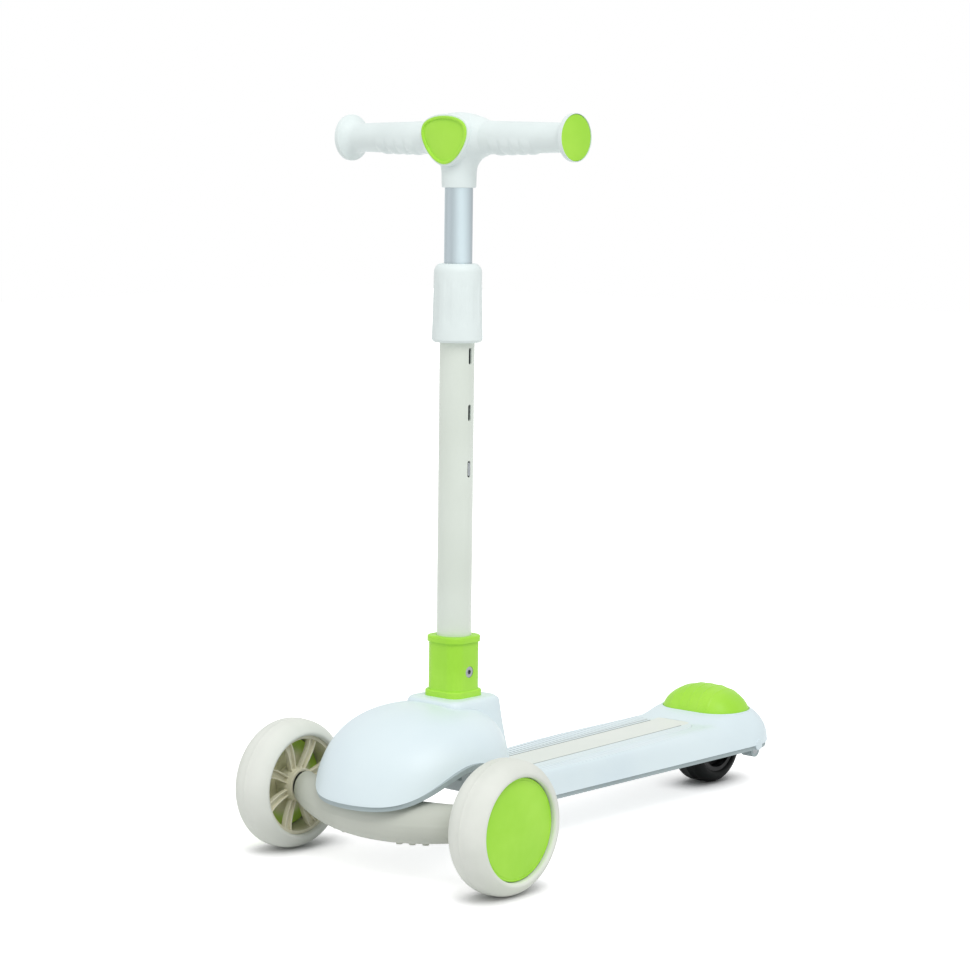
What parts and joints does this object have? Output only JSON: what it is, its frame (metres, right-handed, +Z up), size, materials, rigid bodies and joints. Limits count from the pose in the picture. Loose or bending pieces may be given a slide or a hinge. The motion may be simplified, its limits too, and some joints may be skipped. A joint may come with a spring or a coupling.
{
  "type": "kick scooter",
  "caption": "Small lean-to-steer kick scooter with two large front wheels on a bowed beam, a small rear wheel under a foot brake, a moulded deck and a telescopic stem with a T-bar.",
  "frame": {"origin": "on the floor, in the middle of the length and of the width", "axes": "+X to the rider's left, +Y to the rear, +Z up; the scooter faces -Y"},
  "size_m": [0.3006, 0.582, 0.6739],
  "materials": {
    "white_moulding": "satin, cool white",
    "grey_moulding": "matte mid grey",
    "cream_pad": "matte, fine dots",
    "steel": "zinc plated",
    "green_moulding": "satin yellow-green",
    "cream_tube": "satin off-white paint on steel",
    "black_plastic": "matte",
    "urethane": "matte",
    "beige_beam": "satin beige-grey",
    "cream_tyre": "matte off-white urethane",
    "tan_hub": "satin tan",
    "black_tyre": "matte black urethane",
    "bare_tube": "satin, brushed along its length",
    "white_grip": "soft satin"
  },
  "bodies": {
    "deck": {"deck_shell": "white_moulding", "nose_cover": "white_moulding", "base_frame": "grey_moulding", "deck_pad": "cream_pad", "frame_screws": "steel", "stem_socket": "green_moulding", "socket_bolt": "steel", "socket_nut": "steel", "stem_bolt": "steel", "outer_tube": "cream_tube", "top_guide": "black_plastic", "rear_axle": "steel", "rear_spacers": "steel", "brake_pin": "steel", "brake_spring": "steel", "pivot_bush": "black_plastic", "centring_bush": "urethane"},
    "steering": {"axle_beam": "beige_beam", "beam_screws": "steel", "kingpin": "steel", "kingpin_washer": "steel", "kingpin_nut": "steel", "left_front_axle_bolt": "steel", "right_front_axle_bolt": "steel"},
    "left_front_wheel": {"left_front_tyre": "cream_tyre", "left_front_hub": "tan_hub", "left_hub_cap": "green_moulding", "left_front_bearings": "steel", "left_front_bearing_spacer": "steel"},
    "right_front_wheel": {"right_front_tyre": "cream_tyre", "right_front_hub": "tan_hub", "right_hub_cap": "green_moulding", "right_front_bearings": "steel", "right_front_bearing_spacer": "steel"},
    "rear_wheel": {"rear_tyre": "black_tyre", "rear_hub": "black_plastic", "rear_bearings": "steel", "rear_bearing_spacer": "steel"},
    "brake": {"brake_pedal": "green_moulding", "brake_pad": "urethane"},
    "collar": {"twist_collar": "white_moulding"},
    "handlebar": {"inner_tube": "bare_tube", "lower_guide": "black_plastic", "t_body": "white_moulding", "neck_screw": "steel", "badge_cover": "green_moulding", "bar_tube": "steel", "left_grip": "white_grip", "right_grip": "white_grip", "left_end_cap": "green_moulding", "right_end_cap": "green_moulding", "button_spring": "steel"},
    "button": {"height_button": "steel"}
  },
  "joints": [
    {"name": "lean_steer", "type": "hinge", "parent": "deck", "child": "steering", "pos_m": [0, -0.247, 0.055], "axis": [0, -0.342, 0.9397], "range_deg": [-15, 15], "stiffness_Nm_per_rad": 18},
    {"name": "left_front_spin", "type": "hinge", "parent": "steering", "child": "left_front_wheel", "pos_m": [0.13, -0.225, 0.06], "axis": [1, 0, 0], "continuous": true},
    {"name": "right_front_spin", "type": "hinge", "parent": "steering", "child": "right_front_wheel", "pos_m": [-0.13, -0.225, 0.06], "axis": [1, 0, 0], "continuous": true},
    {"name": "rear_spin", "type": "hinge", "parent": "deck", "child": "rear_wheel", "pos_m": [0, 0.244, 0.04], "axis": [1, 0, 0], "continuous": true},
    {"name": "brake_press", "type": "hinge", "parent": "deck", "child": "brake", "pos_m": [0, 0.205, 0.064], "axis": [-1, 0, 0], "range_deg": [0, 5], "stiffness_Nm_per_rad": 20, "springref_deg": -2.86, "deforming": ["brake_spring"]},
    {"name": "collar_twist", "type": "hinge", "parent": "deck", "child": "collar", "pos_m": [0, -0.13815, 0.50423], "axis": [0, 0.0192, 0.9998], "range_deg": [0, 90]},
    {"name": "bar_height", "type": "slide", "parent": "deck", "child": "handlebar", "axis": [0, 0.0192, 0.9998], "range_m": [0, 0.1018]},
    {"name": "button_press", "type": "slide", "parent": "handlebar", "child": "button", "axis": [1, 0, 0], "range_m": [-0.004, 0.0015], "stiffness_N_per_m": 800, "springref_m": 0.0015, "deforming": ["button_spring"]}
  ]
}
